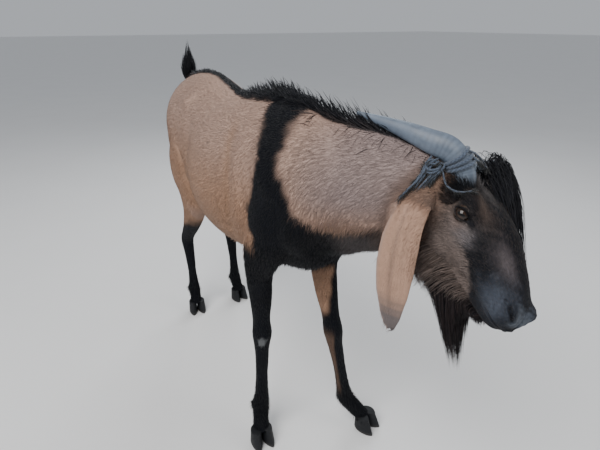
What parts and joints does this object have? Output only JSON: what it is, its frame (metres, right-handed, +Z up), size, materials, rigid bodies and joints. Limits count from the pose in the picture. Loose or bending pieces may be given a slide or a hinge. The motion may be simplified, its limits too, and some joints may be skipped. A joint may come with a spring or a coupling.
{
  "type": "nubian goat",
  "caption": "Standing long-eared buck goat with swept horns, beard, maned back and raised tail, head bowed and turned, a frayed cord round one horn.",
  "frame": {"origin": "on the floor, below the middle of the whole model's box", "axes": "+Z up, +X to the animal's left, the animal faces -Y, its length runs along Y"},
  "size_m": [0.4475, 1.2485, 0.9304],
  "materials": {
    "tan_coat": "short fawn coat, matt",
    "face_coat": "short dark and fawn face coat, matt",
    "dark_coat": "short black coat with a slight sheen",
    "ear_coat": "fine pale coat, matt",
    "eye": "wet, glossy, opaque amber",
    "horn": "smooth grey horn, satin",
    "hoof": "dark horn, dull",
    "cord": "frayed grey-blue fibre"
  },
  "bodies": {
    "root": {"torso": "tan_coat", "neck": "tan_coat", "head": "face_coat", "foreleg_right": "dark_coat", "foreleg_left": "dark_coat", "hindleg_right": "dark_coat", "hindleg_left": "dark_coat", "tail": "dark_coat", "ear_right": "ear_coat", "ear_left": "ear_coat", "eye_right": "eye", "eye_left": "eye", "horn_right": "horn", "horn_left": "horn", "cord": "cord", "forehoof_right_right_claw": "hoof", "forehoof_right_left_claw": "hoof", "forehoof_left_right_claw": "hoof", "forehoof_left_left_claw": "hoof", "hindhoof_right_right_claw": "hoof", "hindhoof_right_left_claw": "hoof", "hindhoof_left_right_claw": "hoof", "hindhoof_left_left_claw": "hoof"}
  },
  "joints": []
}
